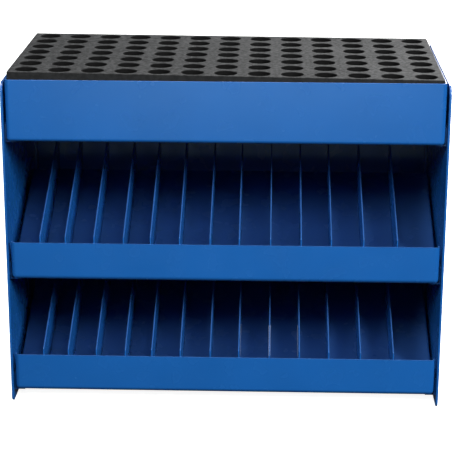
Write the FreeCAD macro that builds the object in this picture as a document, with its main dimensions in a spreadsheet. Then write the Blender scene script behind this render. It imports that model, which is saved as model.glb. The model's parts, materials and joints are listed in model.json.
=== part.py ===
import FreeCAD, Part
import os
import Sketcher

# Bench case of powder-coated sheet steel that holds twist drills. Two side panels and a back
# carry three pull-out trays on angle runners. The top tray is a pan with a perforated foam
# insert; the two lower trays slope down to a front lip and are split by upright dividers.
# Millimetres. X runs across the case, its front faces -Y and +Z is up. The origin is under the
# middle of the case, on the surface that the side panels stand on.

# Driving dimensions of the case
CASE_SIZES = {
    "case_width": 400,
    "case_depth": 196,
    "side_height": 306,
    "side_sheet": 2,
    "side_head_radius": 9,
    "side_foot_radius": 5,
    "back_sheet": 1.5,
    "back_flange": 15,
    "flange_clearance": 14,
    "back_foot_gap": 6,
    "back_head_gap": 6,
}

# Driving dimensions of the runners, and the gaps that the trays slide with
RUNNER_SIZES = {
    "runner_sheet": 1.5,
    "runner_ledge": 10,
    "runner_wall": 15,
    "runner_setback": 6,
    "stop_height": 8,
    "tray_side_gap": 2.2,
    "seat_gap": 0.3,
    "stop_gap": 0.4,
}

# Driving dimensions of the trays. The top tray hangs from the head of the sides, the middle tray
# from the top tray, with the upper opening above its lip. The bottom tray's level is given.
TRAY_SIZES = {
    "tray_sheet": 1.5,
    "bend_radius": 1,
    "top_tray_rise": 3,
    "top_tray_height": 56.5,
    "top_tray_corner": 3.5,
    "upper_opening": 95.2,
    "bottom_tray_level": 12,
    "slope_depth": 150,
    "floor_slope": 23.5,
    "lip_height": 35.3,
    "lip_corner": 4.5,
    "ear_head": 6,
    "ear_depth": 20,
    "skirt_flange": 9,
    "rear_flange": 12,
}

# Driving dimensions of the dividers and of the foam insert
CONTENT_SIZES = {
    "divider_sheet": 1.2,
    "divider_proud": 6,
    "divider_front_gap": 0.4,
    "divider_rear_gap": 3,
    "tab_length": 60,
    "tab_inset": 42,
    "tab_proud": 1,
    "slot_gap": 0.1,
    "insert_height": 61.7,
    "insert_gap": 0.4,
    "insert_corner": 1.5,
    "hole_radius": 10,
    "hole_columns": 13,
    "hole_rows": 7,
    "hole_side_margin": 15.7,
    "hole_front_margin": 13.5,
    "hole_back_margin": 14.2,
}

# Places of the dividers across a tray, as shares of its width from the left
DIVIDER_SHARES = (
    0.069, 0.128, 0.195, 0.264, 0.327, 0.395, 0.466,
    0.534, 0.607, 0.678, 0.748, 0.823, 0.901,
)

# Each cut runs this much past the solid that it opens
CUT_OVERRUN = {"cut_overrun": 2}

# Edges are picked by a place that must agree to this share of the sheet's thickness
MATCH_SHARE = 0.01

doc = FreeCAD.newDocument("drill_case")
sheet = doc.addObject("Spreadsheet::Sheet", "Sizes")
ALL_SIZES = {**CASE_SIZES, **RUNNER_SIZES, **TRAY_SIZES, **CONTENT_SIZES, **CUT_OVERRUN}
for row, (alias, number) in enumerate(ALL_SIZES.items(), start=1):
    sheet.set(f"A{row}", alias)
    sheet.set(f"B{row}", str(number))
    sheet.setAlias(f"B{row}", alias)
doc.recompute()

# Places and sizes that follow from the driving dimensions
FRONT = "(-Sizes.case_depth / 2)"
BACK = "(Sizes.case_depth / 2)"
INSIDE = "(Sizes.case_width / 2 - Sizes.side_sheet)"
TRAY_WIDTH = "(Sizes.case_width - 2 * Sizes.side_sheet - 2 * Sizes.tray_side_gap)"
TRAY_INSIDE = f"({TRAY_WIDTH} - 2 * Sizes.tray_sheet)"
TOP_DEPTH = "(Sizes.case_depth - Sizes.back_sheet - Sizes.stop_gap)"
TOP_LEVEL = "(Sizes.side_height + Sizes.top_tray_rise - Sizes.top_tray_height)"
TRAY_LEVELS = {
    "middle": f"({TOP_LEVEL} - Sizes.upper_opening - Sizes.lip_height)",
    "bottom": "Sizes.bottom_tray_level",
}
INSERT_WIDTH = f"({TRAY_INSIDE} - 2 * Sizes.insert_gap)"
INSERT_DEPTH = f"({TOP_DEPTH} - 2 * Sizes.tray_sheet - 2 * Sizes.insert_gap)"
DIVIDER_FRONT = "(Sizes.tray_sheet + Sizes.divider_front_gap)"
DIVIDER_REAR = "(Sizes.slope_depth - Sizes.divider_rear_gap)"
TAB_FRONT = f"({DIVIDER_FRONT} + Sizes.tab_inset)"
TAB_REAR = f"({TAB_FRONT} + Sizes.tab_length)"


def floor_top(y):
    """Height of a sloped floor's upper face at a distance y behind the lip's front face."""
    return f"(Sizes.tray_sheet + ({y} - Sizes.tray_sheet) * tan(Sizes.floor_slope))"


def floor_under(y):
    """Height of a sloped floor's lower face at a distance y behind the lip's front face."""
    return f"({floor_top(y)} - Sizes.tray_sheet / cos(Sizes.floor_slope))"


def under_reaches(height):
    """Distance behind the lip's front face at which the floor's lower face has that height."""
    rise = f"({height} - Sizes.tray_sheet + Sizes.tray_sheet / cos(Sizes.floor_slope))"
    return f"(Sizes.tray_sheet + {rise} / tan(Sizes.floor_slope))"


def divider_top(y):
    """Height of a divider's top edge, which runs parallel to the floor."""
    return (
        "(Sizes.lip_height + Sizes.divider_proud"
        f" + ({y} - {DIVIDER_FRONT}) * tan(Sizes.floor_slope))"
    )


def number_of(expression):
    """Present number of an expression on the sheet of sizes."""
    return float(sheet.evalExpression(expression))


def new_body(name):
    body = doc.addObject("PartDesign::Body", name)
    body.Label = name
    return body


def place(body, **places):
    """Puts a body at places given as expressions, such as x=INSIDE."""
    for axis, expression in places.items():
        body.setExpression(f"Placement.Base.{axis}", expression)


def sketch_on(body, name, role):
    """Empty sketch on one of the body's own origin planes."""
    sketch = body.newObject("Sketcher::SketchObject", name)
    origin_plane = next(item for item in body.Origin.OriginFeatures if item.Role == role)
    sketch.AttachmentSupport = [(origin_plane, "")]
    sketch.MapMode = "FlatFace"
    return sketch


def draw_loops(sketch, loops):
    """Draws closed loops whose corners are held at (across, up) expressions."""
    for corners in loops:
        first = sketch.GeometryCount
        last = first + len(corners) - 1
        points = [FreeCAD.Vector(number_of(x), number_of(y), 0) for x, y in corners]
        ends = points[1:] + points[:1]
        sketch.addGeometry([Part.LineSegment(a, b) for a, b in zip(points, ends)], False)
        joins = [Sketcher.Constraint("Coincident", i, 2, i + 1, 1) for i in range(first, last)]
        joins.append(Sketcher.Constraint("Coincident", last, 2, first, 1))
        sketch.addConstraint(joins)
        for line, (corner, point) in enumerate(zip(corners, points), start=first):
            for kind, expression, number in zip(("DistanceX", "DistanceY"), corner, point):
                held = sketch.addConstraint(
                    Sketcher.Constraint(kind, -1, 1, line, 1, number)
                )
                sketch.setExpression(f"Constraints[{held}]", expression)


def profile(body, name, role, *loops):
    sketch = sketch_on(body, name, role)
    draw_loops(sketch, loops)
    doc.recompute()
    return sketch


def pad(body, name, sketch, length, both_ways=False, reverse=False):
    feature = body.newObject("PartDesign::Pad", name)
    feature.Profile = sketch
    feature.SideType = "Symmetric" if both_ways else "One side"
    feature.Reversed = reverse
    feature.setExpression("Length", length)
    doc.recompute()
    return feature


def pocket(body, name, sketch, length=None, both_ways=False, reverse=False):
    """Cuts to a length, or right through where none is given."""
    before = body.Shape.Volume
    feature = body.newObject("PartDesign::Pocket", name)
    feature.Profile = sketch
    feature.SideType = "Symmetric" if both_ways else "One side"
    feature.Reversed = reverse
    if length is None:
        feature.Type = "ThroughAll"
    else:
        feature.setExpression("Length", length)
    doc.recompute()
    if not body.Shape.Volume < before:
        raise RuntimeError(f"{body.Label}: {name} cuts nothing")
    return feature


def edges_at(feature, wanted):
    """Names of the feature's edges whose middle lies where wanted(x, y, z) says."""
    names = []
    for number, edge in enumerate(feature.Shape.Edges, start=1):
        middle = edge.valueAt((edge.FirstParameter + edge.LastParameter) / 2)
        if wanted(middle.x, middle.y, middle.z):
            names.append(f"Edge{number}")
    return names


def at(expression):
    """Test for a coordinate that equals an expression."""
    target = number_of(expression)
    slack = number_of("Sizes.tray_sheet") * MATCH_SHARE
    return lambda coordinate: abs(coordinate - target) < slack


def fillet(body, name, base, wanted, radius):
    feature = body.newObject("PartDesign::Fillet", name)
    feature.Base = (base, edges_at(base, wanted))
    feature.setExpression("Radius", radius)
    doc.recompute()
    return feature


def chamfer(body, name, base, wanted, size):
    feature = body.newObject("PartDesign::Chamfer", name)
    feature.Base = (base, edges_at(base, wanted))
    feature.setExpression("Size", size)
    doc.recompute()
    return feature


def side_panel(name, left_face):
    """Flat sheet whose lower edge is the foot; its front corners are rounded."""
    body = new_body(name)
    head = "Sizes.side_height"
    outline = profile(
        body, f"{name}_outline", "YZ_Plane", ((FRONT, "0"), (BACK, "0"), (BACK, head), (FRONT, head))
    )
    panel = pad(body, f"{name}_sheet", outline, "Sizes.side_sheet")
    is_front, is_head, is_foot = at(FRONT), at(head), at("0")
    rounded = fillet(
        body, f"{name}_head", panel, lambda x, y, z: is_front(y) and is_head(z),
        "Sizes.side_head_radius",
    )
    fillet(
        body, f"{name}_foot", rounded, lambda x, y, z: is_front(y) and is_foot(z),
        "Sizes.side_foot_radius",
    )
    place(body, x=left_face)


def back_panel():
    """Sheet back, bent forward at both sides to flanges that are welded to the side panels.

    The flanges end under the top tray, so that the tray can reach the sheet.
    """
    body = new_body("back_panel")
    inner_x = f"({INSIDE} - Sizes.back_sheet)"
    inner_y = f"({BACK} - Sizes.back_sheet)"
    tip = f"({BACK} - Sizes.back_flange)"
    right = ((INSIDE, BACK), (INSIDE, tip), (inner_x, tip), (inner_x, inner_y))
    left = tuple((f"-{x}", y) for x, y in reversed(right))
    section = profile(body, "back_section", "XY_Plane", right + left)
    head = "(Sizes.side_height - Sizes.back_head_gap - Sizes.back_foot_gap)"
    channel = pad(body, "back_channel", section, head)
    is_inside, is_back = at(INSIDE), at(BACK)
    fillet(
        body, "back_bends", channel, lambda x, y, z: is_inside(abs(x)) and is_back(y),
        "(Sizes.bend_radius + Sizes.back_sheet)",
    )
    flange_head = f"({TOP_LEVEL} - Sizes.flange_clearance - Sizes.back_foot_gap)"
    before, above = f"({tip} - Sizes.cut_overrun)", f"({head} + Sizes.cut_overrun)"
    pocket(
        body, "back_notches",
        profile(
            body, "back_notch_side", "YZ_Plane",
            ((before, flange_head), (inner_y, flange_head), (inner_y, above), (before, above)),
        ),
        "Sizes.case_width", both_ways=True,
    )
    place(body, z="Sizes.back_foot_gap")


def runner(name, side, tray_level, length, with_stop):
    """Angle ledge on a side panel (side -1 left, 1 right); an upturned tab stops the tray."""
    body = new_body(name)
    wall = f"({side} * {INSIDE})"
    wall_face = f"({side} * ({INSIDE} - Sizes.runner_sheet))"
    ledge_tip = f"({side} * ({INSIDE} - Sizes.runner_ledge))"
    section = profile(
        body, f"{name}_section", "XZ_Plane",
        (
            (wall, "-Sizes.runner_sheet"), (wall, "Sizes.runner_wall"),
            (wall_face, "Sizes.runner_wall"), (wall_face, "0"),
            (ledge_tip, "0"), (ledge_tip, "-Sizes.runner_sheet"),
        ),
    )
    angle = pad(body, f"{name}_angle", section, length, reverse=True)
    if with_stop:
        tab_edge = f"({side} * ({INSIDE} - 2 * Sizes.runner_sheet))"
        stop = sketch_on(body, f"{name}_stop_outline", "XZ_Plane")
        stop.setExpression("AttachmentOffset.Base.z", f"-({length} - Sizes.runner_sheet)")
        draw_loops(
            stop,
            [(
                (ledge_tip, "0"), (tab_edge, "0"),
                (tab_edge, "Sizes.stop_height"), (ledge_tip, "Sizes.stop_height"),
            )],
        )
        doc.recompute()
        angle = pad(body, f"{name}_stop", stop, "Sizes.runner_sheet", reverse=True)
    place(body, y=f"({FRONT} + Sizes.runner_setback)", z=f"({tray_level} - Sizes.seat_gap)")


def top_tray():
    """Pan whose front is bent into its sides and floor; it closes the top of the case."""
    body = new_body("top_tray")
    half = f"({TRAY_WIDTH} / 2)"
    outline = profile(
        body, "pan_outline", "XY_Plane",
        ((f"-{half}", "0"), (half, "0"), (half, TOP_DEPTH), (f"-{half}", TOP_DEPTH)),
    )
    block = pad(body, "pan_block", outline, "Sizes.top_tray_height")
    is_side, is_front, is_floor = at(half), at("0"), at("0")
    rounded = fillet(
        body, "pan_bends", block,
        lambda x, y, z: is_floor(z) and (is_front(y) or is_side(abs(x)))
        or is_front(y) and is_side(abs(x)),
        "Sizes.top_tray_corner",
    )
    faces = enumerate(rounded.Shape.Faces, start=1)
    is_head = at("Sizes.top_tray_height")
    open_face = next(f"Face{number}" for number, face in faces if is_head(face.CenterOfMass.z))
    pan = body.newObject("PartDesign::Thickness", "pan_shell")
    pan.Base = (rounded, [open_face])
    pan.Reversed = True
    pan.setExpression("Value", "Sizes.tray_sheet")
    doc.recompute()
    place(body, y=FRONT, z=TOP_LEVEL)


def tool_insert():
    """Foam block with a grid of round holes that go right through it."""
    body = new_body("tool_insert")
    half = f"({INSERT_WIDTH} / 2)"
    outline = profile(
        body, "insert_outline", "XY_Plane",
        ((f"-{half}", "0"), (half, "0"), (half, INSERT_DEPTH), (f"-{half}", INSERT_DEPTH)),
    )
    block = pad(body, "insert_block", outline, "Sizes.insert_height")
    is_side, is_front, is_foot = at(half), at("0"), at("0")
    chamfer(
        body, "insert_corners", block,
        lambda x, y, z: is_foot(z) and (is_front(y) or is_side(abs(x)))
        or is_front(y) and is_side(abs(x)),
        "Sizes.insert_corner",
    )
    first_x = f"(Sizes.hole_side_margin - {half})"
    hole = sketch_on(body, "hole_outline", "XY_Plane")
    centre = FreeCAD.Vector(number_of(first_x), number_of("Sizes.hole_front_margin"), 0)
    up = FreeCAD.Vector(0, 0, 1)
    hole.addGeometry(Part.Circle(centre, up, number_of("Sizes.hole_radius")), False)
    for kind, place_of_circle, expression in (
        ("Radius", (0,), "Sizes.hole_radius"),
        ("DistanceX", (-1, 1, 0, 3), first_x),
        ("DistanceY", (-1, 1, 0, 3), "Sizes.hole_front_margin"),
    ):
        held = hole.addConstraint(
            Sketcher.Constraint(kind, *place_of_circle, number_of(expression))
        )
        hole.setExpression(f"Constraints[{held}]", expression)
    doc.recompute()
    bore = pocket(body, "first_hole", hole, reverse=True)
    grid = body.newObject("PartDesign::LinearPattern", "hole_grid")
    grid.Originals = [bore]
    grid.Direction = (hole, ["H_Axis"])
    grid.Direction2 = (hole, ["V_Axis"])
    grid.Mode = "Extent"
    grid.Mode2 = "Extent"
    grid.setExpression("Length", f"{INSERT_WIDTH} - 2 * Sizes.hole_side_margin")
    grid.setExpression("Occurrences", "Sizes.hole_columns")
    grid.setExpression(
        "Length2", f"{INSERT_DEPTH} - Sizes.hole_front_margin - Sizes.hole_back_margin"
    )
    grid.setExpression("Occurrences2", "Sizes.hole_rows")
    body.Tip = grid
    doc.recompute()
    place(
        body,
        y=f"({FRONT} + Sizes.tray_sheet + Sizes.insert_gap)",
        z=f"({TOP_LEVEL} + Sizes.tray_sheet + Sizes.seat_gap)",
    )


def sloped_tray(name, level):
    """Tray bent from one sheet: lip with short ears, sloping floor, skirts and a rear flange."""
    body = new_body(name)
    depth, lip, thick = "Sizes.slope_depth", "Sizes.lip_height", "Sizes.tray_sheet"
    ear, over = "Sizes.ear_depth", "Sizes.cut_overrun"
    half = f"({TRAY_WIDTH} / 2)"
    wedge = pad(
        body, f"{name}_wedge",
        profile(
            body, f"{name}_wedge_side", "YZ_Plane",
            (("0", "0"), ("0", floor_top("0")), (depth, floor_top(depth)), (depth, "0")),
        ),
        TRAY_WIDTH, both_ways=True,
    )
    is_side, is_front, is_floor = at(half), at("0"), at("0")
    is_rear, is_crest, is_half_way = at(depth), at(floor_top(depth)), at(f"({depth} / 2)")
    fillet(
        body, f"{name}_floor_bends", wedge,
        lambda x, y, z: is_rear(y) and is_crest(z)
        or is_side(abs(x)) and is_half_way(y) and not is_floor(z),
        "(Sizes.bend_radius + Sizes.tray_sheet)",
    )
    front = pad(
        body, f"{name}_front_block",
        profile(
            body, f"{name}_front_side", "YZ_Plane",
            (
                ("0", "0"), ("0", lip), ("Sizes.ear_head", lip),
                (ear, floor_top(ear)), (ear, "0"),
            ),
        ),
        TRAY_WIDTH, both_ways=True,
    )
    fillet(
        body, f"{name}_lip_bends", front,
        lambda x, y, z: is_floor(z) and (is_front(y) or is_side(abs(x)))
        or is_front(y) and is_side(abs(x)),
        "Sizes.lip_corner",
    )
    past_ear = f"({ear} + {over})"
    above_lip = f"({lip} + {over})"
    pocket(
        body, f"{name}_trough",
        profile(
            body, f"{name}_trough_side", "YZ_Plane",
            (
                (thick, thick), (past_ear, floor_top(past_ear)),
                (past_ear, above_lip), (thick, above_lip),
            ),
        ),
        TRAY_INSIDE, both_ways=True,
    )
    flange_foot = f"({floor_top(depth)} - Sizes.rear_flange)"
    behind, rear_face = f"({depth} + {over})", f"({depth} - {thick})"
    pocket(
        body, f"{name}_hollow",
        profile(
            body, f"{name}_hollow_side", "YZ_Plane",
            (
                (under_reaches(thick), thick), (rear_face, floor_under(rear_face)),
                (rear_face, flange_foot), (behind, flange_foot), (behind, thick),
            ),
        ),
        TRAY_INSIDE, both_ways=True,
    )
    below = f"(-{over})"
    pocket(
        body, f"{name}_mouth",
        profile(
            body, f"{name}_mouth_side", "YZ_Plane",
            (
                (under_reaches(below), below), (under_reaches(thick), thick),
                (behind, thick), (behind, below),
            ),
        ),
        f"({TRAY_WIDTH} - 2 * Sizes.skirt_flange)", both_ways=True,
    )
    cut_slots(body, name)
    place(body, y=FRONT, z=level)


def cut_slots(body, name):
    """Slots in the floor, one for the long tab of each divider."""
    half_slot = "(Sizes.divider_sheet / 2 + Sizes.slot_gap)"
    near = f"({TAB_FRONT} - Sizes.slot_gap)"
    far = f"({TAB_REAR} + Sizes.slot_gap)"
    loops = []
    for share in DIVIDER_SHARES:
        left = f"({divider_place(share)} - {half_slot})"
        right = f"({divider_place(share)} + {half_slot})"
        loops.append(((left, near), (right, near), (right, far), (left, far)))
    slots = profile(body, f"{name}_slot_outlines", "XY_Plane", *loops)
    pocket(body, f"{name}_slots", slots, reverse=True)


def divider_place(share):
    """Middle of a divider across the tray."""
    return f"({TRAY_WIDTH} * ({share} - 1 / 2))"


def divider(name, share, level):
    """Upright sheet along the sloping floor, with a long tab that reaches through its slot."""
    body = new_body(name)
    tab_foot = [(y, f"({floor_under(y)} - Sizes.tab_proud)") for y in (TAB_FRONT, TAB_REAR)]
    foot = [(y, floor_top(y)) for y in (DIVIDER_FRONT, TAB_FRONT, TAB_REAR, DIVIDER_REAR)]
    head = [(y, divider_top(y)) for y in (DIVIDER_REAR, DIVIDER_FRONT)]
    outline = profile(
        body, f"{name}_outline", "YZ_Plane", foot[:2] + tab_foot + foot[2:] + head
    )
    pad(body, f"{name}_sheet", outline, "Sizes.divider_sheet", both_ways=True)
    place(body, x=divider_place(share), y=FRONT, z=level)


side_panel("side_panel_left", "(-Sizes.case_width / 2)")
side_panel("side_panel_right", INSIDE)
back_panel()
SLOPED_RUN = (
    "(Sizes.slope_depth + Sizes.stop_gap + Sizes.runner_sheet - Sizes.runner_setback)"
)
TOP_RUN = (
    "(Sizes.case_depth - Sizes.back_flange - Sizes.runner_sheet - Sizes.runner_setback)"
)
for side, side_name in ((-1, "left"), (1, "right")):
    runner(f"runner_top_{side_name}", side, TOP_LEVEL, TOP_RUN, False)
    for row_name, tray_level in TRAY_LEVELS.items():
        runner(f"runner_{row_name}_{side_name}", side, tray_level, SLOPED_RUN, True)
top_tray()
tool_insert()
for row_name, tray_level in TRAY_LEVELS.items():
    sloped_tray(f"{row_name}_tray", tray_level)
    for number, share in enumerate(DIVIDER_SHARES, start=1):
        divider(f"divider_{row_name}_{number:02d}", share, tray_level)

doc.recompute()
for item in doc.Objects:
    if "Invalid" in item.State or "Error" in item.State:
        raise RuntimeError(f"{item.Label} failed: {item.State}")
bodies = [item for item in doc.Objects if item.TypeId == "PartDesign::Body"]
os.makedirs("parts", exist_ok=True)
for body in bodies:
    if body.Shape.isNull() or not body.Shape.isValid() or len(body.Shape.Solids) != 1:
        raise RuntimeError(f"{body.Label} isn't one valid solid")
for body in bodies:
    body.Shape.exportStep(f"parts/{body.Label}.step")
print(len(bodies), "solids written")
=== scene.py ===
import json
import math

import bmesh
import bpy
from mathutils import Matrix, Vector


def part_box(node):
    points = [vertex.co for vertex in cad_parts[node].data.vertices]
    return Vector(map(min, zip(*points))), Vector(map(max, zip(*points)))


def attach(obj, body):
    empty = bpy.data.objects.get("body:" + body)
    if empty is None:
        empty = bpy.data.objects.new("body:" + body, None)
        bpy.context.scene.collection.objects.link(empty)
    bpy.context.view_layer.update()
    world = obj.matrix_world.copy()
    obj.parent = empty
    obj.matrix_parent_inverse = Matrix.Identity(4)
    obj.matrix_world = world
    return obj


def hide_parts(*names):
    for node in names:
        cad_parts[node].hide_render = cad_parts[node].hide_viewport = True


bl_info = {
    "name": "Drill bit drawer case",
    "version": (1, 0, 0),
    "blender": (4, 5, 0),
    "location": "View3D > Sidebar > Drill case",
    "description": "Coated sheets, dividers and a foam insert for a bench case of twist drills",
    "category": "Object",
}

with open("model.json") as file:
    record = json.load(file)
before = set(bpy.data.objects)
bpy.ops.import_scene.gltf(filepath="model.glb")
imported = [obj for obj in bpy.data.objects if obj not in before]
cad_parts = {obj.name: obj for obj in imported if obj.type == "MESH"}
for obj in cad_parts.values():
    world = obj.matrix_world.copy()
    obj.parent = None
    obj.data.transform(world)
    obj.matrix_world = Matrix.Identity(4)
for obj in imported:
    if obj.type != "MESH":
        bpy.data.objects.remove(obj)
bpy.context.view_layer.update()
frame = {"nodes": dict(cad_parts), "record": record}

SLOPED_ROWS = ("middle", "bottom")
COAT_NAME = "Satin powder coat on sheet steel"
FOAM_NAME = "Cut closed-cell foam"
QUARTER_TURN = math.pi / 2
MM_PER_METRE = 1000
# Digits after the point, in metres, by which two rows of holes are told apart.
PLACE_DIGITS = 6

# Vertices closer than these distances, in metres, are joined. Two faces that differ by less than
# the flat angle become one, an edge sharper than the edge angle is rounded, and a face of the
# foam that lies within the axis angle of an axis stays flat.
MERGE_DISTANCE = 1e-6
SEAM_DISTANCE = MERGE_DISTANCE * 10
FLAT_ANGLE = math.radians(1)
EDGE_ANGLE = math.radians(30)
AXIS_ANGLE = math.radians(1.5)

# How many faces go round each rounding and each hole.
EDGE_STEPS = 2
CORNER_STEPS = 4
RIM_STEPS = 3
HOLE_STEPS = 48

# Numbers of the sockets that share their name with another one.
MIX_FACTOR, MIX_FIRST, MIX_SECOND, MIX_RESULT = 0, 6, 7, 2
WHOLE_FIRST, WHOLE_SECOND = 2, 3
FLOAT_FIRST, FLOAT_SECOND = 0, 1
# An edge with a single face is an open one.
FACES_AT_OPEN_EDGE = 1

# Most of a noise lies between these two values.
NOISE_LOW, NOISE_HIGH = 0.3, 0.7
# Height of a face's normal up to which it counts as upright, and from which it counts as level.
UPRIGHT, LEVEL = 0.1, 0.95

# Unevenness of the powder coat in metres, and its swing in brightness and in roughness.
COAT_CLOUD = 0.07
COAT_TONES = (0.95, 1.05)
GLOSS_CLOUD = 0.02
GLOSS_SWING = 0.03
# Slow waves that rolled and folded sheet keeps, in metres.
SHEET_WAVE = 0.12
SHEET_WAVE_DEPTH = 0.0003

# Grain of the cut foam: depth of an open cell in metres, width of a speck in cells, the factors
# by which the specks change the cells' tone, and what the dullest speck leaves of the gloss.
CELL_DEPTH = 0.0002
SPECK_CELLS = 3
SPECK_RANGE = (-0.6, 1.9)
SPECK_GLOSS = 0.62
# Painted shade on the upright faces: their brightness, as a share of the cells' dark tone.
SIDE_SHADE_SHARE = 0.7
# Shade in the holes: its reach in cells, its samples, how open a spot is at its deepest, and
# what the deepest shade leaves of the tone and of the gloss.
SHADE_CELLS = 30
SHADE_SAMPLES = 8
SHADE_DEEPEST = 0.62
DEEP_SHARE = 0.1
DEEP_GLOSS = 0.4
# Patches of different roughness on the foam, in metres.
FOAM_CLOUD = 0.05
FOAM_ROUGHNESS = (0.75, 0.87)

# Clouds of tone on the paper and on the walls, in metres.
PAPER_CLOUD = 0.6
WALL_CLOUD = 5

# The stage in metres. The card's tint is a linear colour, and the sensor is in millimetres.
FLOOR_REACH = 30
WALLS_RADIUS = 25
WALLS_SEGMENTS, WALLS_RINGS = 32, 16
AIM = (0, -0.1, 0.17)
CARD_HEIGHT = 0.35
CARD_TINT = (0.72, 1, 0.95)
CEILING_SPREAD = math.radians(40)
SENSOR_WIDTH = 36
NEAREST_SEEN = 0.05

# Each soft light's name, place, target, width and the setting that holds its power.
SOFT_LIGHTS = (
    ("right_softbox", (1.45, -1.4, 1.28), AIM, 0.85, "right_power"),
    ("left_softbox", (-1.3, -1.5, 1.25), AIM, 0.8, "left_power"),
    ("card", (0, -1.45, 0.175), (0, -0.1, 0.3), 0.7, "card_power"),
    ("front_softbox", (0.08, -0.974, 1.1), AIM, 0.55, "front_power"),
    ("back_softbox", (0.6, 1.2, 0.9), (0, 0, 0.3), 0.8, "back_power"),
    ("floor_softbox", (0, 0.9, 2.4), (0, 0.9, 0), 3.4, "floor_power"),
)


def linear(code):
    """Linear colour of an sRGB hex code."""
    # The sRGB curve is a straight line up to 0.04045 and a power of 2.4 above it.
    shares = [int(code[start:start + 2], 16) / 255 for start in (0, 2, 4)]
    return tuple(
        share / 12.92 if share <= 0.04045 else ((share + 0.055) / 1.055) ** 2.4
        for share in shares
    )


class CoatSettings(bpy.types.PropertyGroup):
    """Powder coat on bent sheet steel."""

    colour: bpy.props.FloatVectorProperty(
        name="Coat colour", description="Colour of the cured powder coat",
        default=linear("165BA5"), size=3, min=0, max=1, subtype="COLOR",
    )
    roughness: bpy.props.FloatProperty(
        name="Roughness", description="Middle of the coat's satin roughness",
        default=0.26, min=0, max=1, subtype="FACTOR",
    )
    # Dust and painted sheen: a pale pinkish grey on faces that look up, which also stands in for
    # a haze of reflected light.
    dust: bpy.props.FloatVectorProperty(
        name="Dust colour", description="Colour of the dust on faces that look up",
        default=linear("8E8488"), size=3, min=0, max=1, subtype="COLOR",
    )
    dust_and_sheen_share: bpy.props.FloatProperty(
        name="Dust share", description="How much of a level face the dust covers",
        default=0.11, min=0, max=1, subtype="FACTOR",
    )
    peel_size: bpy.props.FloatProperty(
        name="Orange peel size", description="Distance between two bumps of the coat",
        default=0.0011, min=0.0001, unit="LENGTH",
    )
    peel_depth: bpy.props.FloatProperty(
        name="Orange peel depth", description="Height of the coat's bumps",
        default=0.000006, min=0, unit="LENGTH",
    )
    edge_radius: bpy.props.FloatProperty(
        name="Edge radius", description="Rounding of the sheets' cut edges under the coat",
        default=0.00035, min=0, unit="LENGTH",
    )


class FoamSettings(bpy.types.PropertyGroup):
    """Closed-cell foam insert."""

    dark: bpy.props.FloatVectorProperty(
        name="Cell colour", description="Colour of the open cells on the cut faces",
        default=linear("1C1D1E"), size=3, min=0, max=1, subtype="COLOR",
    )
    light: bpy.props.FloatVectorProperty(
        name="Skin colour", description="Colour of the cell walls on the cut faces",
        default=linear("3E3F40"), size=3, min=0, max=1, subtype="COLOR",
    )
    cell_size: bpy.props.FloatProperty(
        name="Cell size", description="Width of one cell as it is drawn",
        default=0.0012, min=0.0001, unit="LENGTH",
    )
    side_radius: bpy.props.FloatProperty(
        name="Side radius", description="Rounding of the upright corners and the foot",
        default=0.0015, min=0, unit="LENGTH",
    )
    head_radius: bpy.props.FloatProperty(
        name="Head radius", description="Rounding of the upper edge",
        default=0.0005, min=0, unit="LENGTH",
    )
    hole_rim: bpy.props.FloatProperty(
        name="Hole rim", description="Rounding where the punch has drawn the foam in",
        default=0.0008, min=0, unit="LENGTH",
    )
    head_drop: bpy.props.FloatVectorProperty(
        name="Head drop",
        description="How far the loose block's top lies under its highest corner, at the front "
                    "left, front right, back left and back right",
        default=(0, 0.0044, 0.001, 0.0034), size=4, min=0, unit="LENGTH",
    )


class StudioSettings(bpy.types.PropertyGroup):
    """Camera and soft lights."""

    lens: bpy.props.FloatProperty(
        name="Lens", description="Focal length on a 36 mm sensor, in millimetres",
        default=127.43, min=1,
    )
    camera_place: bpy.props.FloatVectorProperty(
        name="Camera place", description="Where the camera stands",
        default=(0.04199, -1.48089, 0.61092), size=3, subtype="XYZ", unit="LENGTH",
    )
    camera_turn: bpy.props.FloatVectorProperty(
        name="Camera turn", description="Pitch down, roll and yaw to the left",
        default=tuple(math.radians(angle) for angle in (17.4565, 0.1725, 1.6861)), size=3,
        unit="ROTATION",
    )
    right_power: bpy.props.FloatProperty(
        name="Right power", description="Power of the softbox at the right front, in watts",
        default=54, min=0,
    )
    left_power: bpy.props.FloatProperty(
        name="Left power", description="Power of the softbox at the left front, in watts",
        default=22, min=0,
    )
    front_power: bpy.props.FloatProperty(
        name="Front power", description="Power of the softbox above the camera, in watts",
        default=3.9, min=0,
    )
    back_power: bpy.props.FloatProperty(
        name="Back power", description="Power of the softbox behind the case, in watts",
        default=19, min=0,
    )
    card_power: bpy.props.FloatProperty(
        name="Card power", description="Power of the bright card low in front, in watts",
        default=2, min=0,
    )
    floor_power: bpy.props.FloatProperty(
        name="Floor power", description="Power of the ceiling light over the floor, in watts",
        default=22, min=0,
    )
    world_strength: bpy.props.FloatProperty(
        name="World strength", description="Brightness of the plain surroundings",
        default=0.03, min=0,
    )


class DrillCaseSettings(bpy.types.PropertyGroup):
    """All settings of the drill case."""

    coat: bpy.props.PointerProperty(
        name="Coat", description="Powder coat of the sheets", type=CoatSettings,
    )
    foam: bpy.props.PointerProperty(
        name="Foam", description="Foam insert of the top tray", type=FoamSettings,
    )
    studio: bpy.props.PointerProperty(
        name="Studio", description="Camera and lights", type=StudioSettings,
    )


def add_node(tree, kind, inputs=(), **settings):
    """Adds a node, and links or sets each input, given with its source or its value."""
    node = tree.nodes.new(kind)
    for name, setting in settings.items():
        setattr(node, name, setting)
    for name, source in inputs:
        if isinstance(source, bpy.types.NodeSocket):
            tree.links.new(source, node.inputs[name])
        else:
            node.inputs[name].default_value = source
    return node


def opaque(colour, share=1):
    """Opaque colour for a socket, at a share of its brightness."""
    return (*(Vector(colour) * share), 1)


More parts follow.
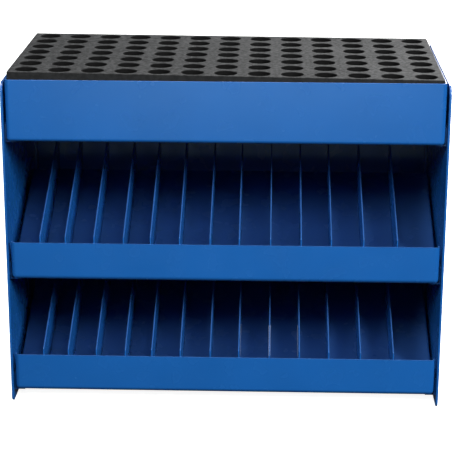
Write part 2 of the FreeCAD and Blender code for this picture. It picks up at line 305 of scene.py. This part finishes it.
def new_material(name):
    """Empty node material, its tree and the object's own coordinates in it."""
    material = bpy.data.materials.new(name)
    material.use_nodes = True
    tree = material.node_tree
    tree.nodes.clear()
    return material, tree, add_node(tree, "ShaderNodeTexCoord").outputs["Object"]


def uneven(tree, coordinates, size, detail, span=(0, 1)):
    """Value that wanders over the span, in clouds that are about size apart."""
    low, high = span
    clouds = add_node(
        tree, "ShaderNodeTexNoise",
        [("Vector", coordinates), ("Scale", 1 / size), ("Detail", detail)],
    ).outputs["Fac"]
    return add_node(
        tree, "ShaderNodeMapRange",
        [("Value", clouds), ("From Min", NOISE_LOW), ("From Max", NOISE_HIGH),
         ("To Min", low), ("To Max", high)],
    ).outputs["Result"]


def looks_up(tree, most):
    """How far a face looks up: nothing on an upright face, and most on a level one."""
    normal = add_node(tree, "ShaderNodeNewGeometry").outputs["Normal"]
    upward = add_node(tree, "ShaderNodeSeparateXYZ", [("Vector", normal)]).outputs["Z"]
    return add_node(
        tree, "ShaderNodeMapRange",
        [("Value", upward), ("From Min", UPRIGHT), ("From Max", LEVEL), ("To Min", 0),
         ("To Max", most)],
    ).outputs["Result"]


def powder_coat():
    """Satin powder coat, sprayed on folded sheet steel and cured."""
    # It gives the eye one deep blue with broad, soft highlights. Faint orange peel and the slow
    # waves of thin sheet keep them from running straight; dust and painted sheen grey level
    # faces.
    # The peel's bumps are about a millimetre apart, as real ones are, and just show.
    settings = bpy.context.scene.drill_case.coat
    material, tree, coordinates = new_material(COAT_NAME)
    darker, brighter = (opaque(settings.colour, share) for share in COAT_TONES)
    tone = uneven(tree, coordinates, COAT_CLOUD, detail=3)
    clean = add_node(
        tree, "ShaderNodeMix", [(MIX_FACTOR, tone), (MIX_FIRST, darker), (MIX_SECOND, brighter)],
        data_type="RGBA",
    ).outputs[MIX_RESULT]
    # Dust and painted sheen: faces that look up get a pale pinkish grey, which also stands in
    # for a haze of reflected light on them.
    dust_and_sheen = looks_up(tree, settings.dust_and_sheen_share)
    base = add_node(
        tree, "ShaderNodeMix",
        [(MIX_FACTOR, dust_and_sheen), (MIX_FIRST, clean), (MIX_SECOND, opaque(settings.dust))],
        data_type="RGBA",
    ).outputs[MIX_RESULT]
    roughness = uneven(
        tree, coordinates, GLOSS_CLOUD, detail=2,
        span=(settings.roughness - GLOSS_SWING, settings.roughness + GLOSS_SWING),
    )
    swell = add_node(
        tree, "ShaderNodeTexNoise",
        [("Vector", coordinates), ("Scale", 1 / SHEET_WAVE), ("Detail", 0)],
    ).outputs["Fac"]
    waves = add_node(
        tree, "ShaderNodeBump",
        [("Height", swell), ("Strength", 1), ("Distance", SHEET_WAVE_DEPTH)],
    ).outputs["Normal"]
    bumps = add_node(
        tree, "ShaderNodeTexNoise",
        [("Vector", coordinates), ("Scale", 1 / settings.peel_size), ("Detail", 1)],
    ).outputs["Fac"]
    peel = add_node(
        tree, "ShaderNodeBump",
        [("Height", bumps), ("Normal", waves), ("Strength", 1),
         ("Distance", settings.peel_depth)],
    ).outputs["Normal"]
    shader = add_node(
        tree, "ShaderNodeBsdfPrincipled",
        [("Base Color", base), ("Roughness", roughness), ("Normal", peel),
         ("Specular IOR Level", 0.5)],
    ).outputs["BSDF"]
    add_node(tree, "ShaderNodeOutputMaterial", [("Surface", shader)])
    return material


def cut_foam():
    """Closed-cell polyethylene foam, cut from a slab and punched."""
    # It gives the eye a dull charcoal grey with a fine, slightly glinting grain on the cut top,
    # plainer sides painted darker as shade, and holes painted darker with shade as they go down.
    # Real cells are about half a millimetre wide, which is too fine to show. They are drawn
    # 1.2 mm wide, and the specks over them are three cells wide.
    settings = bpy.context.scene.drill_case.foam
    material, tree, coordinates = new_material(FOAM_NAME)
    cells = add_node(
        tree, "ShaderNodeTexVoronoi",
        [("Vector", coordinates), ("Scale", 1 / settings.cell_size)],
    ).outputs["Distance"]
    specks = uneven(
        tree, coordinates, settings.cell_size * SPECK_CELLS, detail=2, span=SPECK_RANGE
    )
    grain = add_node(
        tree, "ShaderNodeMath", [(0, cells), (1, specks)], operation="MULTIPLY"
    ).outputs["Value"]
    cut = add_node(
        tree, "ShaderNodeMix",
        [(MIX_FACTOR, grain), (MIX_FIRST, opaque(settings.dark)),
         (MIX_SECOND, opaque(settings.light))],
        data_type="RGBA",
    ).outputs[MIX_RESULT]
    # Painted shade: upright faces, hole walls among them, lack the grain and get a darker plain
    # tone than the cut top.
    face = add_node(
        tree, "ShaderNodeMix",
        [(MIX_FACTOR, looks_up(tree, 1)), (MIX_FIRST, opaque(settings.dark, SIDE_SHADE_SHARE)),
         (MIX_SECOND, cut)],
        data_type="RGBA",
    ).outputs[MIX_RESULT]
    # Painted shade in the holes: the occlusion darkens the base colour deeper down.
    shade = add_node(
        tree, "ShaderNodeAmbientOcclusion", [("Distance", settings.cell_size * SHADE_CELLS)],
        only_local=True, samples=SHADE_SAMPLES,
    ).outputs["AO"]
    openness = add_node(
        tree, "ShaderNodeMapRange",
        [("Value", shade), ("From Min", SHADE_DEEPEST), ("From Max", 1)],
    ).outputs["Result"]
    base = add_node(
        tree, "ShaderNodeMix",
        [(MIX_FACTOR, openness), (MIX_FIRST, opaque(settings.dark, DEEP_SHARE)),
         (MIX_SECOND, face)],
        data_type="RGBA",
    ).outputs[MIX_RESULT]
    white = linear("FFFFFF")
    speckle = add_node(
        tree, "ShaderNodeMix",
        [(MIX_FACTOR, specks), (MIX_FIRST, opaque(white, SPECK_GLOSS)),
         (MIX_SECOND, opaque(white))],
        data_type="RGBA",
    ).outputs[MIX_RESULT]
    # Painted shade: the gloss is dimmed in the holes, and speckled by the grain.
    hole_shaded_gloss = add_node(
        tree, "ShaderNodeMix",
        [(MIX_FACTOR, openness), (MIX_FIRST, opaque(white, DEEP_GLOSS)),
         (MIX_SECOND, speckle)],
        data_type="RGBA",
    ).outputs[MIX_RESULT]
    patches = uneven(tree, coordinates, FOAM_CLOUD, detail=3, span=FOAM_ROUGHNESS)
    pits = add_node(
        tree, "ShaderNodeBump", [("Height", cells), ("Strength", 0.6), ("Distance", CELL_DEPTH)]
    ).outputs["Normal"]
    shader = add_node(
        tree, "ShaderNodeBsdfPrincipled",
        [("Base Color", base), ("Roughness", patches), ("Specular Tint", hole_shaded_gloss),
         ("Normal", pits), ("Specular IOR Level", 0.35)],
    ).outputs["BSDF"]
    add_node(tree, "ShaderNodeOutputMaterial", [("Surface", shader)])
    return material


def studio_paper():
    """Matt white studio paper, lit through from below."""
    # It gives the eye a seamless white ground with hardly a shadow on it.
    material, tree, coordinates = new_material("Matt white studio paper")
    tone = uneven(tree, coordinates, PAPER_CLOUD, detail=2)
    base = add_node(
        tree, "ShaderNodeMix",
        [(MIX_FACTOR, tone), (MIX_FIRST, opaque(linear("F6F6F6"))),
         (MIX_SECOND, opaque(linear("FAFAFA")))],
        data_type="RGBA",
    ).outputs[MIX_RESULT]
    shader = add_node(
        tree, "ShaderNodeBsdfPrincipled",
        [("Base Color", base), ("Roughness", 0.85), ("Specular IOR Level", 0.2),
         ("Emission Color", opaque(linear("FFFFFF"))), ("Emission Strength", 0.92)],
    ).outputs["BSDF"]
    add_node(tree, "ShaderNodeOutputMaterial", [("Surface", shader)])
    return material


def studio_wall():
    """Plain painted studio wall, evenly lit."""
    # It gives the eye a very light, even grey behind the views from low down.
    material, tree, coordinates = new_material("Plain studio wall")
    tone = uneven(tree, coordinates, WALL_CLOUD, detail=1)
    paint = add_node(
        tree, "ShaderNodeMix",
        [(MIX_FACTOR, tone), (MIX_FIRST, opaque(linear("ECECEC"))),
         (MIX_SECOND, opaque(linear("EEEEEE")))],
        data_type="RGBA",
    ).outputs[MIX_RESULT]
    glow = add_node(tree, "ShaderNodeEmission", [("Color", paint), ("Strength", 1)])
    add_node(tree, "ShaderNodeOutputMaterial", [("Surface", glow.outputs["Emission"])])
    return material


def coat_material():
    """The sheets' powder coat, made when it is first asked for."""
    return bpy.data.materials.get(COAT_NAME) or powder_coat()


def foam_material():
    """The insert's foam, made when it is first asked for."""
    return bpy.data.materials.get(FOAM_NAME) or cut_foam()


def new_object(name, mesh):
    """Object with that mesh, at the origin of the scene."""
    piece = bpy.data.objects.new(name, mesh)
    bpy.context.scene.collection.objects.link(piece)
    return piece


def mesh_from(shape, name):
    """Mesh of a bmesh, which is freed."""
    mesh = bpy.data.meshes.new(name)
    shape.to_mesh(mesh)
    shape.free()
    return mesh


def keep_modified(piece):
    """Gives the piece the mesh that its modifiers make, and removes them."""
    bpy.context.view_layer.update()
    graph = bpy.context.evaluated_depsgraph_get()
    shaped = bpy.data.meshes.new_from_object(
        piece.evaluated_get(graph), preserve_all_data_layers=True, depsgraph=graph
    )
    plain = piece.data
    piece.modifiers.clear()
    piece.data = shaped
    bpy.data.meshes.remove(plain)
    shaped.name = piece.name
    if not shaped.polygons:
        raise RuntimeError(f"{piece.name} has no faces")


def coated_sheet(node, name):
    """The node's own shape, with its flat faces joined up and its cut edges rounded."""
    shape = bmesh.new()
    shape.from_mesh(frame["nodes"][node].data)
    bmesh.ops.remove_doubles(shape, verts=shape.verts, dist=MERGE_DISTANCE)
    bmesh.ops.dissolve_limit(
        shape, angle_limit=FLAT_ANGLE, verts=shape.verts, edges=shape.edges
    )
    for face in shape.faces:
        face.smooth = True
    piece = new_object(name, mesh_from(shape, name))
    piece.data.materials.clear()
    piece.data.materials.append(coat_material())
    bevel = piece.modifiers.new("Rounded cut edges", "BEVEL")
    bevel.width = bpy.context.scene.drill_case.coat.edge_radius
    bevel.segments = EDGE_STEPS
    bevel.limit_method = "ANGLE"
    bevel.angle_limit = EDGE_ANGLE
    piece.modifiers.new("Flat faces stay flat", "WEIGHTED_NORMAL")
    keep_modified(piece)
    return piece


def stands_for(piece, body, nodes):
    """Hangs a finished piece under its body, and hides the nodes that it stands for."""
    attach(piece, body)
    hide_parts(*nodes)


def nodes_of(body):
    """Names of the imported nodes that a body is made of."""
    return frame["record"]["behaviour"]["bodies"][body]


class DRILLCASE_OT_case_shell(bpy.types.Operator):
    """Dress the side panels, the back and the runners"""

    bl_idname = "drillcase.case_shell"
    bl_label = "Case shell"

    def execute(self, context):
        for node in nodes_of("case"):
            stands_for(coated_sheet(node, f"{node}_coated"), "case", [node])
        return {"FINISHED"}


class DRILLCASE_OT_trays(bpy.types.Operator):
    """Dress the top tray and the two sloped trays"""

    bl_idname = "drillcase.trays"
    bl_label = "Trays"

    def execute(self, context):
        for row in ("top", *SLOPED_ROWS):
            node = f"{row}_tray"
            piece = coated_sheet(node, f"{node}_coated")
            stands_for(piece, f"{row}_tray_body", [node])
        return {"FINISHED"}


def new_tree(name, sockets):
    """Geometry tree with named inputs, and its group input's outputs."""
    tree = bpy.data.node_groups.new(name, "GeometryNodeTree")
    tree.is_modifier = True
    for socket, kind in sockets:
        tree.interface.new_socket(socket, in_out="INPUT", socket_type=kind)
    tree.interface.new_socket("Geometry", in_out="OUTPUT", socket_type="NodeSocketGeometry")
    return tree, add_node(tree, "NodeGroupInput").outputs


def end_tree(tree, instances, material):
    """Ends a tree in real, painted geometry."""
    real = add_node(
        tree, "GeometryNodeRealizeInstances", [("Geometry", instances)]
    ).outputs["Geometry"]
    painted = add_node(
        tree, "GeometryNodeSetMaterial", [("Geometry", real), ("Material", material)]
    ).outputs["Geometry"]
    add_node(tree, "NodeGroupOutput", [("Geometry", painted)])


def run_tree(piece, tree, values):
    """Adds the tree as a modifier and sets its inputs by their identifiers."""
    modifier = piece.modifiers.new(tree.name, "NODES")
    modifier.node_group = tree
    for item in tree.interface.items_tree:
        if item.in_out == "INPUT" and item.name in values:
            modifier[item.identifier] = values[item.name]


def divider_tree():
    """One plate at each point."""
    tree, given = new_tree(
        "Dividers on their places",
        [("Geometry", "NodeSocketGeometry"), ("Plate", "NodeSocketObject"),
         ("Coat", "NodeSocketMaterial")],
    )
    plate = add_node(
        tree, "GeometryNodeObjectInfo", [("Object", given["Plate"])]
    ).outputs["Geometry"]
    plates = add_node(
        tree, "GeometryNodeInstanceOnPoints",
        [("Points", given["Geometry"]), ("Instance", plate)],
    ).outputs["Instances"]
    end_tree(tree, plates, given["Coat"])
    return tree


class DRILLCASE_OT_dividers(bpy.types.Operator):
    """Set the dividers into the two sloped trays"""

    bl_idname = "drillcase.dividers"
    bl_label = "Dividers"

    def execute(self, context):
        first = f"divider_{SLOPED_ROWS[0]}_01"
        plate = coated_sheet(first, "divider_plate")
        low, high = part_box(first)
        plate.data.transform(Matrix.Translation((-(low.x + high.x) / 2, 0, 0)))
        tree = divider_tree()
        for row in SLOPED_ROWS:
            body = f"{row}_tray_body"
            nodes = [node for node in nodes_of(body) if node.startswith("divider_")]
            points = bmesh.new()
            for node in nodes:
                corner, far_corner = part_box(node)
                points.verts.new(((corner.x + far_corner.x) / 2, 0, corner.z - low.z))
            piece = new_object(f"dividers_{row}", mesh_from(points, "divider_places"))
            run_tree(piece, tree, {"Plate": plate, "Coat": coat_material()})
            piece.modifiers.new("Flat faces stay flat", "WEIGHTED_NORMAL")
            keep_modified(piece)
            stands_for(piece, body, nodes)
        bpy.data.objects.remove(plate)
        return {"FINISHED"}


def rounded_outline(shape, low, high, inset, radius, height):
    """Ring of vertices round a rectangle with rounded corners."""
    ring = []
    centre = (low + high) / 2
    for quarter, (side_x, side_y) in enumerate(((1, 1), (-1, 1), (-1, -1), (1, -1))):
        corner_x = centre.x + side_x * ((high.x - low.x) / 2 - inset - radius)
        corner_y = centre.y + side_y * ((high.y - low.y) / 2 - inset - radius)
        for step in range(CORNER_STEPS + 1):
            angle = QUARTER_TURN * (quarter + step / CORNER_STEPS)
            ring.append(shape.verts.new((
                corner_x + radius * math.cos(angle), corner_y + radius * math.sin(angle), height
            )))
    return ring


def foam_skin(low, high, settings):
    """Outer skin of the foam block, open at its top and its foot."""
    side, head = settings.side_radius, settings.head_radius
    turns = [QUARTER_TURN * step / CORNER_STEPS for step in range(CORNER_STEPS + 1)]
    rings = [
        (side * (1 - math.sin(turn)), low.z + side * (1 - math.cos(turn))) for turn in turns
    ]
    rings += [
        (head * (1 - math.cos(turn)), high.z - head * (1 - math.sin(turn))) for turn in turns
    ]
    shape = bmesh.new()
    # The corners get tighter as a ring moves in, but never come to a point.
    outlines = [
        rounded_outline(shape, low, high, inset, max(side - inset, head / 2), height)
        for inset, height in rings
    ]
    for lower, upper in zip(outlines, outlines[1:]):
        for index, vertex in enumerate(lower):
            after = (index + 1) % len(lower)
            shape.faces.new((vertex, lower[after], upper[after], upper[index]))
    return mesh_from(shape, "foam_skin")


def hole_wall(radius, rim, foot, head):
    """Wall of one hole round the Z axis, which opens out to its rim at the top."""
    shape = bmesh.new()
    turns = [QUARTER_TURN * step / RIM_STEPS for step in range(RIM_STEPS + 1)]
    profile = [(radius, foot)] + [
        (radius + rim * (1 - math.cos(turn)), head - rim * (1 - math.sin(turn)))
        for turn in turns
    ]
    points = [shape.verts.new((reach, 0, height)) for reach, height in profile]
    edges = [shape.edges.new(pair) for pair in zip(points, points[1:])]
    bmesh.ops.spin(
        shape, geom=points + edges, axis=(0, 0, 1), cent=(0, 0, 0), angle=math.tau,
        steps=HOLE_STEPS, use_merge=True,
    )
    return new_object("hole_wall", mesh_from(shape, "hole_wall"))


def open_rim(tree, skin, middle, operation):
    """Outline of the skin's open edge above or below its middle height."""
    neighbours = add_node(tree, "GeometryNodeInputMeshEdgeNeighbors").outputs["Face Count"]
    is_open = add_node(
        tree, "FunctionNodeCompare",
        [(WHOLE_FIRST, neighbours), (WHOLE_SECOND, FACES_AT_OPEN_EDGE)],
        data_type="INT", operation="EQUAL",
    ).outputs["Result"]
    place = add_node(tree, "GeometryNodeInputPosition").outputs["Position"]
    height = add_node(tree, "ShaderNodeSeparateXYZ", [("Vector", place)]).outputs["Z"]
    on_side = add_node(
        tree, "FunctionNodeCompare", [(FLOAT_FIRST, height), (FLOAT_SECOND, middle)],
        data_type="FLOAT", operation=operation,
    ).outputs["Result"]
    both = add_node(
        tree, "FunctionNodeBooleanMath", [(0, is_open), (1, on_side)], operation="AND"
    ).outputs["Boolean"]
    return add_node(
        tree, "GeometryNodeMeshToCurve", [("Mesh", skin), ("Selection", both)]
    ).outputs["Curve"]


def pierced_face(tree, outline, points, radius, height):
    """Flat face inside an outline with a round hole at each point."""
    circle = add_node(
        tree, "GeometryNodeCurvePrimitiveCircle",
        [("Radius", radius), ("Resolution", HOLE_STEPS)],
    ).outputs["Curve"]
    circles = add_node(
        tree, "GeometryNodeInstanceOnPoints", [("Points", points), ("Instance", circle)]
    ).outputs["Instances"]
    real = add_node(
        tree, "GeometryNodeRealizeInstances", [("Geometry", circles)]
    ).outputs["Geometry"]
    curves = add_node(
        tree, "GeometryNodeJoinGeometry", [("Geometry", outline), ("Geometry", real)]
    ).outputs["Geometry"]
    face = add_node(tree, "GeometryNodeFillCurve", [("Curve", curves)]).outputs["Mesh"]
    lift = add_node(tree, "ShaderNodeCombineXYZ", [("Z", height)]).outputs["Vector"]
    return add_node(
        tree, "GeometryNodeTransform", [("Geometry", face), ("Translation", lift)]
    ).outputs["Geometry"]


def foam_tree():
    """Closes the skin with two pierced faces and lines each hole with its wall."""
    tree, given = new_tree(
        "Perforated foam",
        [("Geometry", "NodeSocketGeometry"), ("Wall", "NodeSocketObject"),
         ("Columns", "NodeSocketInt"), ("Rows", "NodeSocketInt"),
         ("Width", "NodeSocketFloat"), ("Depth", "NodeSocketFloat"),
         ("Centre", "NodeSocketVector"), ("Radius", "NodeSocketFloat"),
         ("Rim radius", "NodeSocketFloat"), ("Foot", "NodeSocketFloat"),
         ("Middle", "NodeSocketFloat"), ("Head", "NodeSocketFloat"),
         ("Foam", "NodeSocketMaterial")],
    )
    grid = add_node(
        tree, "GeometryNodeMeshGrid",
        [("Size X", given["Width"]), ("Size Y", given["Depth"]),
         ("Vertices X", given["Columns"]), ("Vertices Y", given["Rows"])],
    ).outputs["Mesh"]
    points = add_node(
        tree, "GeometryNodeTransform", [("Geometry", grid), ("Translation", given["Centre"])]
    ).outputs["Geometry"]
    skin = given["Geometry"]
    top = pierced_face(
        tree, open_rim(tree, skin, given["Middle"], "GREATER_THAN"), points,
        given["Rim radius"], given["Head"],
    )
    foot = pierced_face(
        tree, open_rim(tree, skin, given["Middle"], "LESS_THAN"), points,
        given["Radius"], given["Foot"],
    )
    wall = add_node(
        tree, "GeometryNodeObjectInfo", [("Object", given["Wall"])]
    ).outputs["Geometry"]
    walls = add_node(
        tree, "GeometryNodeInstanceOnPoints", [("Points", points), ("Instance", wall)]
    ).outputs["Instances"]
    joined = add_node(
        tree, "GeometryNodeJoinGeometry",
        [("Geometry", part) for part in (skin, top, foot, walls)],
    ).outputs["Geometry"]
    real = add_node(
        tree, "GeometryNodeRealizeInstances", [("Geometry", joined)]
    ).outputs["Geometry"]
    closed = add_node(
        tree, "GeometryNodeMergeByDistance",
        [("Geometry", real), ("Distance", SEAM_DISTANCE)],
    ).outputs["Geometry"]
    end_tree(tree, closed, given["Foam"])
    return tree


def lower_head(mesh, low, high, drops):
    """Lowers the top by what its four corners lack, because the loose block lies crooked."""
    front_left, front_right, back_left, back_right = drops
    size = high - low
    for vertex in mesh.vertices:
        across = (vertex.co.x - low.x) / size.x
        along = (vertex.co.y - low.y) / size.y
        front = front_left + (front_right - front_left) * across
        back = back_left + (back_right - back_left) * across
        drop = front + (back - front) * along
        vertex.co.z -= drop * (vertex.co.z - low.z) / size.z


def finish_foam_faces(mesh):
    """Turns the faces outwards, keeps the flat ones flat and gives all a fixed order."""
    shape = bmesh.new()
    shape.from_mesh(mesh)
    bmesh.ops.recalc_face_normals(shape, faces=shape.faces)
    for face in shape.faces:
        face.smooth = max(abs(share) for share in face.normal) < math.cos(AXIS_ANGLE)
    # The spin of a hole's wall lists its faces in another order each time.
    ordered = sorted(shape.faces, key=lambda face: [vertex.index for vertex in face.verts])
    for number, face in enumerate(ordered):
        face.index = number
    shape.faces.sort()
    shape.to_mesh(mesh)
    shape.free()


class DRILLCASE_OT_foam_insert(bpy.types.Operator):
    """Make the perforated foam insert of the top tray"""

    bl_idname = "drillcase.foam_insert"
    bl_label = "Foam insert"

    def execute(self, context):
        settings = context.scene.drill_case.foam
        low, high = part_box("tool_insert")
        holes = [
            mount for mount in frame["record"]["mounts"] if mount["name"].startswith("tool_hole")
        ]
        places = [Vector(mount["pos_m"]) for mount in holes]
        columns = sorted({round(place.x, PLACE_DIGITS) for place in places})
        rows = sorted({round(place.y, PLACE_DIGITS) for place in places})
        radius = holes[0]["dims"]["r_mm"] / MM_PER_METRE
        piece = new_object("foam_insert", foam_skin(low, high, settings))
        wall = hole_wall(radius, settings.hole_rim, low.z, high.z)
        run_tree(piece, foam_tree(), {
            "Wall": wall, "Columns": len(columns), "Rows": len(rows),
            "Width": columns[-1] - columns[0], "Depth": rows[-1] - rows[0],
            "Centre": ((columns[0] + columns[-1]) / 2, (rows[0] + rows[-1]) / 2, 0.0),
            "Radius": radius, "Rim radius": radius + settings.hole_rim,
            "Foot": low.z, "Middle": (low.z + high.z) / 2, "Head": high.z,
            "Foam": foam_material(),
        })
        keep_modified(piece)
        lower_head(piece.data, low, high, settings.head_drop)
        finish_foam_faces(piece.data)
        bpy.data.objects.remove(wall)
        stands_for(piece, "insert_body", ["tool_insert"])
        return {"FINISHED"}


def soft_light(name, place, target, width, power):
    """Square soft light that faces a target and isn't seen itself."""
    lamp = bpy.data.lights.new(name, "AREA")
    lamp.size = width
    lamp.energy = power
    light = bpy.data.objects.new(name, lamp)
    bpy.context.scene.collection.objects.link(light)
    light.location = place
    light.rotation_euler = (Vector(target) - Vector(place)).to_track_quat("-Z", "Y").to_euler()
    light.visible_camera = False
    return light


def light_stage(settings):
    """Soft lights round the case and the dim, plain world behind them."""
    lights = {
        name: soft_light(name, place, target, width, getattr(settings, power))
        for name, place, target, width, power in SOFT_LIGHTS
    }
    # The card is there to be mirrored in the coat, and adds nothing to the light on it.
    card = lights["card"]
    card.data.shape = "RECTANGLE"
    card.data.size_y = CARD_HEIGHT
    card.data.color = CARD_TINT
    card.visible_diffuse = False
    lights["floor_softbox"].data.spread = CEILING_SPREAD
    world = bpy.data.worlds.new("Plain studio")
    world.use_nodes = True
    background = world.node_tree.nodes["Background"]
    background.inputs["Color"].default_value = opaque(linear("FFFFFF"))
    background.inputs["Strength"].default_value = settings.world_strength
    bpy.context.scene.world = world


def stage_piece(name, shape, material):
    """Piece of the stage that the camera alone sees, so that it doesn't light the case."""
    piece = new_object(name, mesh_from(shape, name))
    piece.data.materials.append(material)
    piece.visible_diffuse = False
    piece.visible_glossy = False
    piece.visible_shadow = False


def photo_camera(settings):
    """Camera that sees the case as the photograph does."""
    lens = bpy.data.cameras.new("photo_camera")
    lens.lens = settings.lens
    lens.sensor_width = SENSOR_WIDTH
    lens.clip_start = NEAREST_SEEN
    camera = bpy.data.objects.new("photo_camera", lens)
    bpy.context.scene.collection.objects.link(camera)
    pitch, roll, yaw = settings.camera_turn
    camera.matrix_world = (
        Matrix.Translation(settings.camera_place)
        @ Matrix.Rotation(yaw, 4, "Z")
        @ Matrix.Rotation(QUARTER_TURN - pitch, 4, "X")
        @ Matrix.Rotation(roll, 4, "Z")
    )
    bpy.context.scene.camera = camera


class DRILLCASE_OT_stage(bpy.types.Operator):
    """Set up the floor, the walls, the soft lights and the camera"""

    bl_idname = "drillcase.stage"
    bl_label = "Studio"

    def execute(self, context):
        settings = context.scene.drill_case.studio
        floor = bmesh.new()
        bmesh.ops.create_grid(floor, x_segments=1, y_segments=1, size=FLOOR_REACH)
        stage_piece("studio_floor", floor, studio_paper())
        walls = bmesh.new()
        bmesh.ops.create_uvsphere(
            walls, u_segments=WALLS_SEGMENTS, v_segments=WALLS_RINGS, radius=WALLS_RADIUS
        )
        stage_piece("studio_walls", walls, studio_wall())
        light_stage(settings)
        photo_camera(settings)
        context.scene.view_settings.view_transform = "Standard"
        return {"FINISHED"}


STEPS = (
    DRILLCASE_OT_case_shell, DRILLCASE_OT_trays, DRILLCASE_OT_dividers,
    DRILLCASE_OT_foam_insert, DRILLCASE_OT_stage,
)


class DRILLCASE_PT_panel(bpy.types.Panel):
    """Settings and steps of the drill case"""

    bl_label = "Drill bit drawer case"
    bl_idname = "DRILLCASE_PT_panel"
    bl_space_type = "VIEW_3D"
    bl_region_type = "UI"
    bl_category = "Drill case"

    def draw(self, context):
        case = context.scene.drill_case
        for group in (case.coat, case.foam, case.studio):
            box = self.layout.box()
            for name in group.__annotations__:
                box.prop(group, name)
        for step in STEPS:
            self.layout.operator(step.bl_idname)


CLASSES = (
    CoatSettings, FoamSettings, StudioSettings, DrillCaseSettings, *STEPS, DRILLCASE_PT_panel,
)


def register():
    """Registers the classes and puts the settings on the scene."""
    for entry in CLASSES:
        bpy.utils.register_class(entry)
    bpy.types.Scene.drill_case = bpy.props.PointerProperty(
        name="Drill case", description="Settings of the drill case", type=DrillCaseSettings,
    )


def unregister():
    """Takes the settings and the classes away again."""
    del bpy.types.Scene.drill_case
    for entry in reversed(CLASSES):
        bpy.utils.unregister_class(entry)


def paint_nodes():
    """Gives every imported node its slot's material, also where a piece stands for it."""
    finishes = {"blue_coat": coat_material(), "foam": foam_material()}
    for row in frame["record"]["subparts"]:
        mesh = frame["nodes"][row["node"]].data
        mesh.materials.clear()
        mesh.materials.append(finishes[row["material_slot"]])


def main():
    """Makes the pieces and the stage in order."""
    register()
    for step in (
        bpy.ops.drillcase.case_shell, bpy.ops.drillcase.trays, bpy.ops.drillcase.dividers,
        bpy.ops.drillcase.foam_insert, bpy.ops.drillcase.stage,
    ):
        step()
    paint_nodes()


if __name__ == "__main__":
    main()
